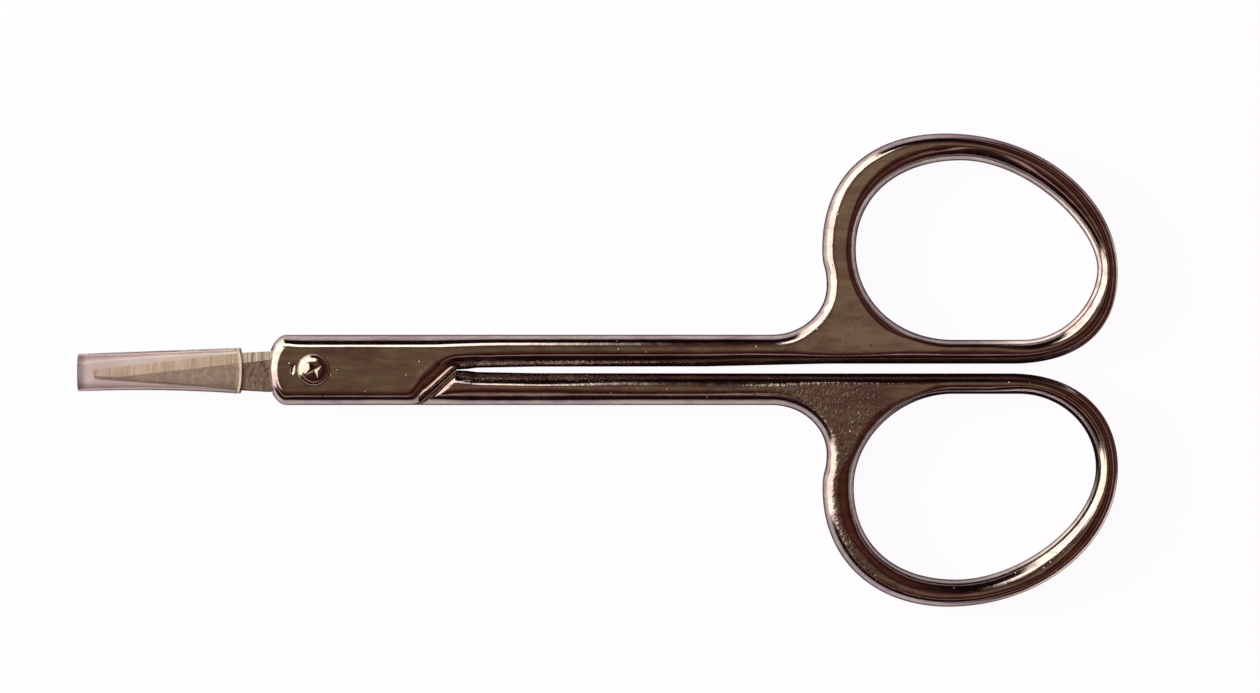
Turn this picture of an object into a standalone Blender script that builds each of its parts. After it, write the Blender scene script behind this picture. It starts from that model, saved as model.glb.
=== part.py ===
"""Nail scissors with a clear tube over the tips: two ringed handles, two inset blades and a screw.

The scissors lie flat and closed, tips towards -X, thickness along +Z. Both halves are modelled the
same way up, as the front half lies, about the pivot axis. The rear half is then turned over.
"""

from math import cos, pi, radians, sin, sqrt, tan, tau

import bmesh
import bpy
from mathutils import Matrix, Vector

# Overall reach, from the pivot axis
guard_far_reach = 0.0231
ring_end_reach = 0.0783

# Clearances
lap_gap = 0.0002
fit_gap = 0.0001
running_gap = 0.00008
cut_overrun = 0.002
weld_distance = 0.000002

# Handles
handle_thickness = 0.0032
edge_radius = 0.0009
boss_half_width = 0.00343
boss_reach = 0.00462
boss_end_bulge = 0.0019
step_start = 0.0100
step_end = 0.0141
step_chamfer = 0.0006
step_corner_radius = 0.0015
shank_fillet_radius = 0.0012
inner_line = 0.00033
shank_straight_end = 0.0380
neck_start = 0.0445
neck_side = 0.0499
neck_top = 0.0082

# Blades
blade_thickness = 0.0009
blade_reach = 0.0216
blade_heel_reach = 0.0070
blade_tip_bulge = 0.0005
tang_reach = 0.0068
bevel_width = 0.00095
bevel_edge_thickness = 0.00012

# Pivot screw
screw_radius = 0.0011
head_radius = 0.0016
head_rim = 0.00022
head_dome = 0.00042
tail_chamfer = 0.0002
recess_length = 0.0017
recess_width = 0.00034
recess_depth = 0.0004
recess_turn = radians(28)

# Tip guard
guard_near_reach = 0.0070
guard_wall = 0.0002
guard_mouth_width = 0.00444
guard_end_width = 0.00366
guard_height = 0.0030
guard_mouth_offset = -0.00008
guard_end_offset = -0.00027
guard_mouth_squareness = 6.0
guard_end_squareness = 2.4

# Fineness of round stretches
outline_steps = 10
edge_steps = 3
round_steps = 40
dome_steps = 6
guard_sides = 40
guard_rings = 5

# Bezier handle share that makes a quarter of an ellipse
ellipse_share = 0.5523

# Finger rings: where each outline turns, as shares of the opening's length and width, and the handle
# shares of each bend from the near side over the top and round to the bar
front_opening_shares = {
    "near": 0.50,
    "top": 0.435,
    "far": 0.395,
    "bar_far": 0.69,
    "bar_near": 0.405,
    "near_top": (0.64, 0.56),
    "top_far": (0.48, 0.39),
    "far_bar": (0.42, 0.61),
    "bar_near_side": (0.57, 0.57),
}
front_rim_shares = {
    "near": 0.505,
    "top": 0.372,
    "far": 0.377,
    "bar_far": 0.643,
    "near_top": (0.61, 0.64),
    "top_far": (0.56, 0.53),
    "far_bar": (0.63, 0.66),
}
rear_opening_shares = {
    "near": 0.503,
    "top": 0.422,
    "far": 0.397,
    "bar_far": 0.683,
    "bar_near": 0.411,
    "near_top": (0.59, 0.63),
    "top_far": (0.46, 0.49),
    "far_bar": (0.57, 0.53),
    "bar_near_side": (0.55, 0.51),
}
rear_rim_shares = {
    "near": 0.507,
    "top": 0.388,
    "far": 0.402,
    "bar_far": 0.647,
    "near_top": (0.63, 0.56),
    "top_far": (0.56, 0.54),
    "far_bar": (0.61, 0.61),
}

# Each half's own ring and blade edges, from the centre line: its bar and cutting edge face the other half
front_sizes = {
    "opening_shares": front_opening_shares,
    "rim_shares": front_rim_shares,
    "bar_line": 0.00060,
    "bar_wall": 0.00233,
    "opening_start": 0.05275,
    "opening_width": 0.01750,
    "near_wall": 0.00328,
    "top_wall": 0.00262,
    "end_wall": 0.00200,
    "cutting_root": 0.00180,
    "cutting_heel": 0.00167,
    "cutting_tip": 0.00008,
    "spine_root": 0.00214,
    "spine_heel": 0.00200,
    "spine_tip": 0.00068,
}
rear_sizes = {
    "opening_shares": rear_opening_shares,
    "rim_shares": rear_rim_shares,
    "bar_line": 0.00034,
    "bar_wall": 0.00200,
    "opening_start": 0.05255,
    "opening_width": 0.01810,
    "near_wall": 0.00305,
    "top_wall": 0.00265,
    "end_wall": 0.00215,
    "cutting_root": 0.00210,
    "cutting_heel": 0.00197,
    "cutting_tip": 0.00095,
    "spine_root": 0.00174,
    "spine_heel": 0.00162,
    "spine_tip": -0.00015,
}

# Levels that both halves share, seen from the front half
lap_level = (handle_thickness + lap_gap) / 2
head_level = handle_thickness + fit_gap
pivot_x = (guard_far_reach - ring_end_reach) / 2
smooth_angle = radians(32)


def start_scene():
    """Empties the scene and makes the collections for the parts and for the cutters."""
    for old in list(bpy.data.objects):
        bpy.data.objects.remove(old, do_unlink=True)
    made = {}
    for name in ("nail_scissors", "cutters"):
        made[name] = bpy.data.collections.new(name)
        bpy.context.scene.collection.children.link(made[name])
    return made["nail_scissors"], made["cutters"]


def make_material(name, colour, roughness, metallic, alpha=1.0):
    """A plain Principled finish in the colour of the real piece."""
    material = bpy.data.materials.new(name)
    material.use_nodes = True
    shader = material.node_tree.nodes["Principled BSDF"]
    shader.inputs["Base Color"].default_value = (*colour, 1)
    shader.inputs["Roughness"].default_value = roughness
    shader.inputs["Metallic"].default_value = metallic
    shader.inputs["Alpha"].default_value = alpha
    return material


def make_frame(name, height, turn):
    """An empty on the pivot axis that carries one half; the rear half's is turned over."""
    frame = bpy.data.objects.new(name, None)
    frame.location = (pivot_x, 0, height)
    frame.rotation_euler.x = turn
    parts.objects.link(frame)
    return frame


def straight(end):
    """A straight run of an outline to the given point."""
    return (Vector(end),)


def quarter(start, end, heading, shares):
    """A bend from a heading along X or Y to the other axis, with its two handle shares."""
    start = Vector(start)
    end = Vector(end)
    across = Vector((end.x - start.x, 0))
    along = Vector((0, end.y - start.y))
    first, second = (across, along) if heading == "x" else (along, across)
    return (start + first * shares[0], end - second * shares[1], end)


def rounded_corner(before, corner, after, radius):
    """A straight run up to a corner and the arc round it."""
    before, corner, after = Vector(before), Vector(corner), Vector(after)
    inward = (corner - before).normalized()
    outward = (after - corner).normalized()
    turn = inward.angle(outward)
    setback = radius * tan(turn / 2)
    handle = radius * tan(turn / 4) * 4 / 3
    start = corner - inward * setback
    end = corner + outward * setback
    return [(start,), (start + inward * handle, end - outward * handle, end)]


def add_outline(curve, moves):
    """Adds a closed outline. A move is an end point alone, or two Bezier handles and an end point."""
    spline = curve.splines.new("BEZIER")
    spline.bezier_points.add(len(moves) - 1)
    spline.use_cyclic_u = True
    spline.resolution_u = outline_steps
    for index, move in enumerate(moves):
        leaving = moves[(index + 1) % len(moves)]
        knot = spline.bezier_points[index]
        knot.co = (*move[-1], 0)
        knot.handle_left_type = "VECTOR" if len(move) == 1 else "FREE"
        knot.handle_right_type = "VECTOR" if len(leaving) == 1 else "FREE"
        before = move[1] if len(move) == 3 else move[-1].lerp(moves[index - 1][-1], 1 / 3)
        after = leaving[0] if len(leaving) == 3 else move[-1].lerp(leaving[-1], 1 / 3)
        knot.handle_left = (*before, 0)
        knot.handle_right = (*after, 0)


def flat_solid(name, outlines, low, high, frame, rounding=0.0):
    """A flat piece between two levels, its edges rounded inwards, made from closed outlines."""
    curve = bpy.data.curves.new(name, "CURVE")
    curve.dimensions = "2D"
    curve.fill_mode = "BOTH"
    curve.extrude = (high - low) / 2 - rounding
    curve.bevel_depth = rounding
    curve.bevel_resolution = edge_steps
    curve.offset = -rounding
    for moves in outlines:
        add_outline(curve, moves)
    drawn = bpy.data.objects.new(name + "_outline", curve)
    drawn.location.z = (low + high) / 2
    bpy.context.scene.collection.objects.link(drawn)
    seen = drawn.evaluated_get(bpy.context.evaluated_depsgraph_get())
    solid = bpy.data.objects.new(name, bpy.data.meshes.new_from_object(seen))
    solid.matrix_world = drawn.matrix_world.copy()
    bpy.data.objects.remove(drawn)
    weld(solid)
    solid.parent = frame
    return solid


def weld(solid):
    """Joins a solid's loose caps and walls and points its faces outwards."""
    form = bmesh.new()
    form.from_mesh(solid.data)
    bmesh.ops.remove_doubles(form, verts=form.verts, dist=weld_distance)
    bmesh.ops.recalc_face_normals(form, faces=form.faces)
    form.to_mesh(solid.data)
    form.free()


def mesh_solid(name, form, frame):
    """Turns a bmesh into an object on the given frame."""
    mesh = bpy.data.meshes.new(name)
    form.to_mesh(mesh)
    form.free()
    solid = bpy.data.objects.new(name, mesh)
    solid.parent = frame
    return solid


def box_solid(name, low, high, frame):
    """A box between two corners."""
    low, high = Vector(low), Vector(high)
    form = bmesh.new()
    bmesh.ops.create_cube(form, size=1)
    place = Matrix.Translation((low + high) / 2) @ Matrix.Diagonal((*(high - low), 1))
    bmesh.ops.transform(form, matrix=place, verts=form.verts)
    return mesh_solid(name, form, frame)


def round_solid(name, radius, low, high, frame):
    """An upright cylinder on the pivot axis."""
    form = bmesh.new()
    bmesh.ops.create_cone(
        form, cap_ends=True, segments=round_steps, radius1=radius, radius2=radius, depth=high - low
    )
    bmesh.ops.translate(form, vec=(0, 0, (low + high) / 2), verts=form.verts)
    return mesh_solid(name, form, frame)


def cut(solid, cutter):
    """Takes a cutter's shape out of a solid."""
    cutters.objects.link(cutter)
    cutter.hide_render = True
    cutter.display_type = "WIRE"
    change = solid.modifiers.new(cutter.name, "BOOLEAN")
    change.operation = "DIFFERENCE"
    change.solver = "EXACT"
    change.object = cutter


def finish(solid, material):
    """Gives a solid its finish, smooth round faces and its place among the parts."""
    solid.data.materials.clear()
    solid.data.materials.append(material)
    solid.data.shade_smooth()
    solid.data.set_sharp_from_angle(angle=smooth_angle)
    parts.objects.link(solid)
    return solid


def opening_outline(sizes):
    """The inside of a finger ring, from its near side over the top to its far side and bar."""
    start = sizes["opening_start"]
    length = ring_end_reach - sizes["end_wall"] - start
    low = sizes["bar_line"] + sizes["bar_wall"]
    width = sizes["opening_width"]
    shares = sizes["opening_shares"]
    near = (start, low + width * shares["near"])
    top = (start + length * shares["top"], low + width)
    far = (start + length, low + width * shares["far"])
    bar_far = (start + length * shares["bar_far"], low)
    bar_near = (start + length * shares["bar_near"], low)
    return [
        quarter(near, top, "y", shares["near_top"]),
        quarter(top, far, "x", shares["top_far"]),
        quarter(far, bar_far, "y", shares["far_bar"]),
        straight(bar_near),
        quarter(bar_near, near, "x", shares["bar_near_side"]),
    ]


def handle_outline(sizes):
    """The boss, the step, the shank, the neck and the outer rim of the finger ring."""
    start = sizes["opening_start"]
    length = ring_end_reach - sizes["end_wall"] - start
    bar_line = sizes["bar_line"]
    low = bar_line + sizes["bar_wall"]
    width = sizes["opening_width"]
    boss_corner = boss_reach - boss_end_bulge
    upper_corner = (-boss_corner, boss_half_width)
    neck = (neck_start, boss_half_width)
    side = (neck_side, neck_top)
    shares = sizes["rim_shares"]
    near = (start - sizes["near_wall"], low + width * shares["near"])
    top = (start + length * shares["top"], low + width + sizes["top_wall"])
    far = (ring_end_reach, low + width * shares["far"])
    bar_far = (start + length * shares["bar_far"], bar_line)
    shank_end = (shank_straight_end, inner_line)
    step_head = (step_end, inner_line)
    step_foot = (step_start, -boss_half_width)
    lower_corner = (-boss_corner, -boss_half_width)
    boss_tip = (-boss_reach, 0)
    boss_shares = (ellipse_share, ellipse_share)
    sway = (near[1] - neck_top) * ellipse_share
    return [
        straight(neck),
        quarter(neck, side, "x", boss_shares),
        (Vector((neck_side, neck_top + sway)), Vector((near[0], near[1] - sway)), Vector(near)),
        quarter(near, top, "y", shares["near_top"]),
        quarter(top, far, "x", shares["top_far"]),
        quarter(far, bar_far, "y", shares["far_bar"]),
        straight((neck_side, bar_line)),
        *rounded_corner(shank_end, step_head, step_foot, shank_fillet_radius),
        *rounded_corner(step_head, step_foot, lower_corner, step_corner_radius),
        straight(lower_corner),
        quarter(lower_corner, boss_tip, "x", boss_shares),
        quarter(boss_tip, upper_corner, "y", boss_shares),
    ]


def tang_outline(sizes, gap, far_left):
    """A straight strip under the boss with a half-round end, widened by a gap for its pocket."""
    upper = sizes["cutting_root"] + gap
    lower = -sizes["spine_root"] - gap
    middle = (upper + lower) / 2
    end = (tang_reach + gap, middle)
    shoulder = end[0] - (upper - lower) / 2
    end_shares = (ellipse_share, ellipse_share)
    return [
        straight((shoulder, upper)),
        quarter((shoulder, upper), end, "x", end_shares),
        quarter(end, (shoulder, lower), "y", end_shares),
        straight((far_left, lower)),
        straight((far_left, upper)),
    ]


def blade_outline(sizes):
    """The tang, the heel, the cutting edge above, the blunt tip and the spine below."""
    shoulder = blade_tip_bulge - blade_reach
    tip_upper = (shoulder, sizes["cutting_tip"])
    tip_lower = (shoulder, -sizes["spine_tip"])
    tip = (-blade_reach, (tip_upper[1] + tip_lower[1]) / 2)
    tip_shares = (ellipse_share, ellipse_share)
    return [
        *tang_outline(sizes, 0, -boss_reach)[:-1],
        straight((-blade_heel_reach, -sizes["spine_heel"])),
        straight(tip_lower),
        quarter(tip_lower, tip, "x", tip_shares),
        quarter(tip, tip_upper, "y", tip_shares),
        straight((-blade_heel_reach, sizes["cutting_heel"])),
        straight((-boss_reach, sizes["cutting_root"])),
    ]


def step_line():
    """The foot and head of the other half's step, seen from this half, and the way clear of it."""
    foot = Vector((step_start, boss_half_width))
    head = Vector((step_end, -inner_line))
    along = (foot - head).normalized()
    return foot, head, along, Vector((along.y, -along.x))


def lap_cutter(name, frame):
    """The layer behind the boss, where the other half lies, up to the other half's step."""
    foot, head, along, clear = step_line()
    foot = foot + along * cut_overrun + clear * lap_gap
    head = head - along * boss_half_width * 2 + clear * lap_gap
    left = -boss_reach - cut_overrun
    outline = [straight(foot), straight(head), straight((left, head.y)), straight((left, foot.y))]
    return flat_solid(name + "_lap", [outline], -cut_overrun, lap_level, frame)


def chamfer_cutter(name, frame):
    """A square bar laid on its corner along the outer edge of the shank's end at the step."""
    foot, head, along, clear = step_line()
    side = step_chamfer * sqrt(2)
    bar = box_solid(name + "_chamfer", (-boss_half_width * 2, -side / 2, -side / 2),
                    (boss_half_width * 2, side / 2, side / 2), frame)
    middle = (foot + head) / 2 + clear * lap_gap
    turned = Matrix((along.to_3d(), clear.to_3d(), (0, 0, 1))).transposed().to_4x4()
    place = Matrix.Translation((*middle, 0)) @ turned @ Matrix.Rotation(pi / 4, 4, "X")
    bar.data.transform(place)
    weld(bar)
    return bar


def pocket_cutter(name, sizes, frame):
    """The pocket in the boss's inner face where the blade's tang lies."""
    outline = tang_outline(sizes, fit_gap, -boss_reach - cut_overrun)
    return flat_solid(name + "_pocket", [outline], 0, lap_level + blade_thickness + fit_gap, frame)


def build_handle(name, sizes, frame, hole_gap, material):
    """A boss, shank and finger ring in one, lapped, pocketed and drilled for the screw."""
    outlines = [handle_outline(sizes), opening_outline(sizes)]
    handle = flat_solid(name, outlines, 0, handle_thickness, frame, edge_radius)
    cut(handle, lap_cutter(name, frame))
    cut(handle, chamfer_cutter(name, frame))
    cut(handle, pocket_cutter(name, sizes, frame))
    reach = handle_thickness + cut_overrun
    cut(handle, round_solid(name + "_hole", screw_radius + hole_gap, -cut_overrun, reach, frame))
    return finish(handle, material)


def bevel_cutter(name, sizes, frame):
    """A block lying on the ground bevel, from the tip to just inside the boss."""
    tip = Vector((blade_tip_bulge - blade_reach, sizes["cutting_tip"]))
    heel = Vector((-blade_heel_reach, sizes["cutting_heel"]))
    along = (heel - tip).normalized()
    outward = Vector((-along.y, along.x))
    rise = blade_thickness - bevel_edge_thickness
    slope = Vector((*(outward * bevel_width), -rise)).normalized()
    run = (blade_reach - boss_reach + boss_end_bulge) / along.x
    back = sqrt(bevel_width**2 + rise**2) + cut_overrun
    block = box_solid(name + "_bevel", (-cut_overrun, -back, 0),
                      (run, cut_overrun, blade_thickness * 2), frame)
    edge = Vector((*tip, lap_level + bevel_edge_thickness))
    axes = (along.to_3d(), slope, along.to_3d().cross(slope))
    block.data.transform(Matrix.Translation(edge) @ Matrix(axes).transposed().to_4x4())
    return block


def build_blade(name, sizes, frame, hole_gap, material):
    """A flat blade with one ground bevel and a tang that the screw passes through."""
    low, high = lap_level, lap_level + blade_thickness
    blade = flat_solid(name, [blade_outline(sizes)], low, high, frame)
    cut(blade, bevel_cutter(name, sizes, frame))
    reach = handle_thickness + cut_overrun
    cut(blade, round_solid(name + "_hole", screw_radius + hole_gap, 0, reach, frame))
    return finish(blade, material)


def build_screw(frame, material):
    """A turned screw with a low dome, its tail flush with the back, and a cross recess."""
    rim_level = head_level + head_rim
    turns = [pi / 2 * step / dome_steps for step in range(dome_steps + 1)]
    profile = [(head_radius * sin(turn), rim_level + head_dome * cos(turn)) for turn in turns]
    profile += [
        (head_radius, head_level),
        (screw_radius, head_level),
        (screw_radius, tail_chamfer),
        (screw_radius - tail_chamfer, 0),
        (0, 0),
    ]
    mesh = bpy.data.meshes.new("pivot_screw")
    edges = [(index, index + 1) for index in range(len(profile) - 1)]
    mesh.from_pydata([(radius, 0, level) for radius, level in profile], edges, [])
    screw = bpy.data.objects.new("pivot_screw", mesh)
    screw.parent = frame
    turned = screw.modifiers.new("turned", "SCREW")
    turned.steps = round_steps
    turned.render_steps = round_steps
    turned.use_merge_vertices = True
    turned.merge_threshold = weld_distance
    turned.use_smooth_shade = True
    top = rim_level + head_dome
    for name, turn in (("recess_slot", recess_turn), ("recess_cross_slot", recess_turn + pi / 2)):
        low = (-recess_length / 2, -recess_width / 2, top - recess_depth)
        high = (recess_length / 2, recess_width / 2, top + cut_overrun)
        slot = box_solid(name, low, high, frame)
        slot.data.transform(Matrix.Rotation(turn, 4, "Z"))
        cut(screw, slot)
    return finish(screw, material)


def build_guard(material):
    """A soft tube, oval at its far end and flattened over the blades at its mouth."""
    form = bmesh.new()
    middle = Vector((
        pivot_x - (guard_near_reach + guard_far_reach) / 2,
        (guard_mouth_offset + guard_end_offset) / 2,
        handle_thickness / 2,
    ))
    rings = []
    for ring in range(guard_rings):
        share = ring / (guard_rings - 1)
        reach = guard_near_reach + (guard_far_reach - guard_near_reach) * share
        width = guard_mouth_width + (guard_end_width - guard_mouth_width) * share
        offset = guard_mouth_offset + (guard_end_offset - guard_mouth_offset) * share
        power = 2 / (guard_mouth_squareness + (guard_end_squareness - guard_mouth_squareness) * share)
        centre = Vector((pivot_x - reach, offset, handle_thickness / 2)) - middle
        ring_verts = []
        for side in range(guard_sides):
            turn = tau * side / guard_sides
            across = abs(cos(turn)) ** power * (1 if cos(turn) >= 0 else -1)
            up = abs(sin(turn)) ** power * (1 if sin(turn) >= 0 else -1)
            place = centre + Vector((0, across * width / 2, up * guard_height / 2))
            ring_verts.append(form.verts.new(place))
        rings.append(ring_verts)
    for near, far in zip(rings, rings[1:]):
        for side in range(guard_sides):
            after = (side + 1) % guard_sides
            form.faces.new((near[side], near[after], far[after], far[side]))
    bmesh.ops.recalc_face_normals(form, faces=form.faces)
    guard = mesh_solid("tip_guard", form, None)
    guard.location = middle
    wall = guard.modifiers.new("wall", "SOLIDIFY")
    wall.thickness = guard_wall
    wall.offset = -1
    wall.use_even_offset = True
    return finish(guard, material)


parts, cutters = start_scene()
plated = make_material("plated_metal", (0.62, 0.56, 0.50), 0.12, 1.0)
ground = make_material("blade_steel", (0.58, 0.53, 0.47), 0.32, 1.0)
screw_metal = make_material("screw_metal", (0.52, 0.45, 0.41), 0.16, 1.0)
clear_plastic = make_material("clear_plastic", (0.86, 0.76, 0.76), 0.2, 0.0, alpha=0.45)

front_frame = make_frame("front_pivot", 0, 0)
rear_frame = make_frame("rear_pivot", handle_thickness, pi)

build_handle("front_handle", front_sizes, front_frame, running_gap, plated)
build_blade("front_blade", front_sizes, front_frame, running_gap, ground)
build_handle("rear_handle", rear_sizes, rear_frame, fit_gap, plated)
build_blade("rear_blade", rear_sizes, rear_frame, fit_gap, ground)
build_screw(front_frame, screw_metal)
build_guard(clear_plastic)
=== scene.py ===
# %% [markdown]
# # Nail scissors with a clear tube over the tips
#
# Closed nail scissors lie flat on a white table, seen from straight above. Two plated handles with
# finger rings cross at a lapped boss, two satin blades run out of it, a cross-head screw holds them,
# and a soft clear tube covers the tips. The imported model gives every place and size, in metres. This
# script dresses it: finer skins on the same forms, finishes, and the light that polished metal needs.

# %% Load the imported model
from math import cos, pi, radians, sin, sqrt, tan, tau

import bmesh
import bpy
import numpy as np
from mathutils import Matrix, Vector
from mathutils.geometry import delaunay_2d_cdt


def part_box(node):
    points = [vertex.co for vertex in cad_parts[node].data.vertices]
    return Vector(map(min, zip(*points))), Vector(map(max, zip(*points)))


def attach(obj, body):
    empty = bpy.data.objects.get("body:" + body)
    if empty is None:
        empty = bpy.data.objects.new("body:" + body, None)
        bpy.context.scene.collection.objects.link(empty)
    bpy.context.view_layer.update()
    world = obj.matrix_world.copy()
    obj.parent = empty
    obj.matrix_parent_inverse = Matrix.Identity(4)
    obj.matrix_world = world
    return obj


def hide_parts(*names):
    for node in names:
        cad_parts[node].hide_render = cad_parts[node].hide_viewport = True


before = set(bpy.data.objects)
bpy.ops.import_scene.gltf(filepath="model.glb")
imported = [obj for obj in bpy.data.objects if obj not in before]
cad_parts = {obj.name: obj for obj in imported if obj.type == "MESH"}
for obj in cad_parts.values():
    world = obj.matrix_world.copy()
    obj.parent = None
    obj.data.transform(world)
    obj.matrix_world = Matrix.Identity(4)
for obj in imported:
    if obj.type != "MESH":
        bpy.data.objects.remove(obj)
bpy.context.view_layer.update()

# %% [markdown]
# ## Sizes
#
# A skin that is to lie exactly where a solid lies needs the same numbers as the solid. These are the
# sizes of the real scissors, measured from the pivot axis, with the tips towards -X. Both halves are
# drawn the same way up, as the front half lies, and the rear half is turned over afterwards. Each
# edge of a half is given by how far its rounding reaches in and by the power of its curve.

# %% Sizes of the scissors, in metres
pivot_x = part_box("pivot_screw")[0].lerp(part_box("pivot_screw")[1], 0.5).x
ring_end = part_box("front_handle")[1].x - pivot_x
thickness = 0.0032
lap_gap, fit_gap, turn_gap = 0.0002, 0.0001, 0.00008
lap_level = (thickness + lap_gap) / 2
boss_half_width, boss_reach, boss_bulge = 0.00343, 0.00462, 0.0019
step_start, step_end = 0.0100, 0.0141
shank_end, inner_line = 0.0380, 0.00033
gap_taper = ((0.0215, 0.00031), (0.0158, 0.00020), (0.0149, 0.00008))
gap_tip = (0.01376, 0.00002)
neck_start, neck_side, neck_top = 0.0445, 0.0499, 0.0082
screw_radius = 0.0011

# Edges: reach on the upper (or outer) and the lower (or inner) side, then power on the same two.
shared_edges = {"boss": (0.00141, 0.00145, 1.85, 2.1), "top": (0.00102, 0.00160, 2.0, 1.8)}
front = {
    "bar_line": 0.00060, "bar_wall": 0.00233, "start": 0.05275, "width": 0.01750,
    "near_wall": 0.00328, "top_wall": 0.00262, "end_wall": 0.00200,
    "opening": (0.50, 0.435, 0.395, 0.69, 0.405),
    "opening_bends": ((0.64, 0.56), (0.48, 0.39), (0.42, 0.61), (0.57, 0.57)),
    "rim": (0.505, 0.372, 0.377, 0.643),
    "rim_bends": ((0.61, 0.64), (0.56, 0.53), (0.63, 0.66)),
    "cutting": (0.00180, 0.00167, 0.00008), "spine": (0.00214, 0.00200, 0.00068),
    "edges": shared_edges | {
        "shank": (0.00170, 0.00190, 2.4, 1.8), "step": (0.00200, 0.00200, 1.7, 1.7),
        "bar": (0.00080, 0.00137, 2.0, 2.0)},
}
rear = {
    "bar_line": 0.00034, "bar_wall": 0.00200, "start": 0.05255, "width": 0.01810,
    "near_wall": 0.00305, "top_wall": 0.00265, "end_wall": 0.00215,
    "opening": (0.503, 0.422, 0.397, 0.683, 0.411),
    "opening_bends": ((0.59, 0.63), (0.46, 0.49), (0.57, 0.53), (0.55, 0.51)),
    "rim": (0.507, 0.388, 0.402, 0.647),
    "rim_bends": ((0.63, 0.56), (0.56, 0.54), (0.61, 0.61)),
    "cutting": (0.00210, 0.00197, 0.00095), "spine": (0.00174, 0.00162, -0.00015),
    "edges": shared_edges | {
        "shank": (0.00176, 0.00150, 2.0, 2.0), "throat": (0.00216, 0.00133, 2.2, 1.58),
        "wall": (0.00110, 0.00210, 2.0, 1.9), "bar": (0.00072, 0.00120, 2.0, 2.0)},
}
print("pivot at x", round(pivot_x, 5), "ring ends at", round(ring_end, 5), "from it")

# %% [markdown]
# ## The camera, before anything else
#
# The photograph looks straight down through a long lens. One pixel of it is 0.0975 mm on the object,
# so the frame is 122.9 mm wide. The lens follows from that width and the camera's height: the sensor's
# width is to the frame's width as the focal length is to the distance.

# %% Camera over the scissors
photo_width, photo_height = 1260, 693
metres_per_pixel = 0.0000975
pivot_pixel = (314.8, 369.9)
camera_height = 0.50


def show(thing):
    """Puts an object into the scene."""
    bpy.context.scene.collection.objects.link(thing)


camera_data = bpy.data.cameras.new("camera")
camera_data.sensor_width = 36.0
camera_data.lens = camera_data.sensor_width * camera_height / (photo_width * metres_per_pixel)
camera_data.clip_start = 0.01
camera = bpy.data.objects.new("camera", camera_data)
camera.location = (
    pivot_x + (photo_width / 2 - pivot_pixel[0]) * metres_per_pixel,
    (pivot_pixel[1] - photo_height / 2) * metres_per_pixel,
    thickness / 2 + camera_height,
)
show(camera)
bpy.context.scene.camera = camera
bpy.context.scene.view_settings.view_transform = "Standard"
print("lens", round(camera_data.lens, 1), "mm at", tuple(round(v, 4) for v in camera.location))

# %% [markdown]
# ## Outlines from bends
#
# Each outline is a loop of straight runs and quarter bends. A bend starts along one axis and ends
# along the other, and two shares say how far its Bezier handles reach: 0.55 of the way makes a quarter
# of an ellipse, less a pointed bend, more a square one. A maker would call this lofting.

# %% Bends and straight runs
ellipse_share = 0.5523
round_end = (ellipse_share, ellipse_share)
samples_a_move = 240


def bend(start, end, heading, shares):
    """Handles and end point of a quarter bend."""
    start, end = np.array(start), np.array(end)
    across, along = np.array((end[0] - start[0], 0)), np.array((0, end[1] - start[1]))
    first, second = (across, along) if heading == "x" else (along, across)
    return start + first * shares[0], end - second * shares[1], end


def corner(before, at, after, radius):
    """A straight run to a rounded corner, and the arc round it."""
    before, at, after = Vector(before), Vector(at), Vector(after)
    inward, outward = (at - before).normalized(), (after - at).normalized()
    turn = inward.angle(outward)
    start, end = at - inward * radius * tan(turn / 2), at + outward * radius * tan(turn / 2)
    handle = radius * tan(turn / 4) * 4 / 3
    return [(start,), (start + inward * handle, end - outward * handle, end)]


def loop_points(moves, spacing):
    """A closed outline as evenly spaced points."""
    drawn = []
    t = np.linspace(0, 1, samples_a_move, endpoint=False)[:, None]
    for index, move in enumerate(moves):
        a, *rest = np.array(moves[index - 1][-1]), *(np.array(point) for point in move)
        if len(rest) == 1:
            drawn.append(a + (rest[0] - a) * t)
        else:
            b, c, d = rest
            drawn.append(a * (1 - t) ** 3 + 3 * b * t * (1 - t) ** 2 + 3 * c * t**2 * (1 - t) + d * t**3)
    points = np.concatenate(drawn)
    closed = np.vstack([points, points[:1]])
    run = np.concatenate([[0], np.cumsum(np.linalg.norm(np.diff(closed, axis=0), axis=1))])
    marks = np.linspace(0, run[-1], int(run[-1] / spacing), endpoint=False)
    return np.column_stack([np.interp(marks, run, closed[:, axis]) for axis in (0, 1)])


# %% Outlines of a handle
gap_end_radius, step_foot_radius = 0.0005, 0.0015
rim_spacing = 0.00016


def ring_frame(half):
    """Where a finger opening starts, how long it is, and the level of its bar side."""
    return half["start"], ring_end - half["end_wall"] - half["start"], half["bar_line"] + half["bar_wall"]


def opening_moves(half):
    """The finger opening, from its near side over the top and back along the bar."""
    start, length, low = ring_frame(half)
    width, bends = half["width"], half["opening_bends"]
    near, top, far, bar_far, bar_near = half["opening"]
    near, top = (start, low + width * near), (start + length * top, low + width)
    far, bar_far = (start + length, low + width * far), (start + length * bar_far, low)
    bar_near = (start + length * bar_near, low)
    return [bend(near, top, "y", bends[0]), bend(top, far, "x", bends[1]),
            bend(far, bar_far, "y", bends[2]), (bar_near,), bend(bar_near, near, "x", bends[3])]


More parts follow.
